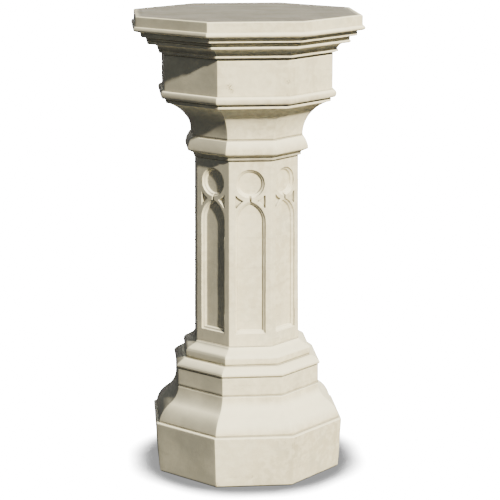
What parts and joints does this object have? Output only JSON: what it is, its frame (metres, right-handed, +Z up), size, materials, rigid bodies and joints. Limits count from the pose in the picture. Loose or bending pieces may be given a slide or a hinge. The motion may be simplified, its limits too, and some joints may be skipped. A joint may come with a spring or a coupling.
{
  "type": "baptismal font",
  "caption": "Octagonal baptismal font in pale cast stone: moulded plinth, shaft with sunk roundel-and-lancet panels, drum bowl with drained basin, and a flat lift-off cover.",
  "frame": {"origin": "centre of the plinth's underside, on the ground", "axes": "+Z up along the font's axis; -Y out of the front flat side; X and Y both run through flat sides of the octagon"},
  "size_m": [0.463, 0.463, 0.95],
  "materials": {
    "cast_stone": "matte",
    "mortar": "matte",
    "stainless_steel": "satin",
    "plated_brass": "gloss",
    "brass": "satin",
    "rubber": "matte",
    "copper": "satin"
  },
  "bodies": {
    "font": {"plinth": "cast_stone", "base_ogee": "cast_stone", "base_band": "cast_stone", "base_roll_lower": "cast_stone", "base_roll_upper": "cast_stone", "shaft": "cast_stone", "neck_ring": "cast_stone", "capital": "cast_stone", "bowl": "cast_stone", "cornice": "cast_stone", "bed_plinth": "mortar", "bed_ogee": "mortar", "bed_band": "mortar", "bed_rolls": "mortar", "bed_shaft_foot": "mortar", "bed_shaft_head": "mortar", "bed_neck": "mortar", "bed_capital": "mortar", "bed_bowl": "mortar", "dowel_plinth_1": "stainless_steel", "dowel_plinth_2": "stainless_steel", "dowel_base_1": "stainless_steel", "dowel_base_2": "stainless_steel", "dowel_shaft_foot_1": "stainless_steel", "dowel_shaft_foot_2": "stainless_steel", "dowel_shaft_head_1": "stainless_steel", "dowel_shaft_head_2": "stainless_steel", "dowel_capital_1": "stainless_steel", "dowel_capital_2": "stainless_steel", "dowel_rim_1": "stainless_steel", "dowel_rim_2": "stainless_steel", "basin_liner": "stainless_steel", "waste_gasket": "rubber", "waste_outlet": "plated_brass", "waste_washer": "rubber", "waste_backnut": "brass", "pipe_joint_ring": "rubber", "drain_pipe": "copper"},
    "cover": {"cover_slab": "cast_stone", "cover_seal": "rubber", "cover_spigot": "brass", "spigot_screw_1": "stainless_steel", "spigot_screw_2": "stainless_steel", "spigot_screw_3": "stainless_steel", "spigot_screw_4": "stainless_steel"},
    "plug": {"drain_plug": "plated_brass", "plug_seal": "rubber", "plug_knob": "brass"}
  },
  "joints": [
    {"name": "cover_lift", "type": "slide", "parent": "font", "child": "cover", "axis": [0, 0, 1], "range_m": [0, 0.25]},
    {"name": "plug_lift", "type": "slide", "parent": "font", "child": "plug", "axis": [0, 0, 1], "range_m": [0, 0.05]}
  ]
}
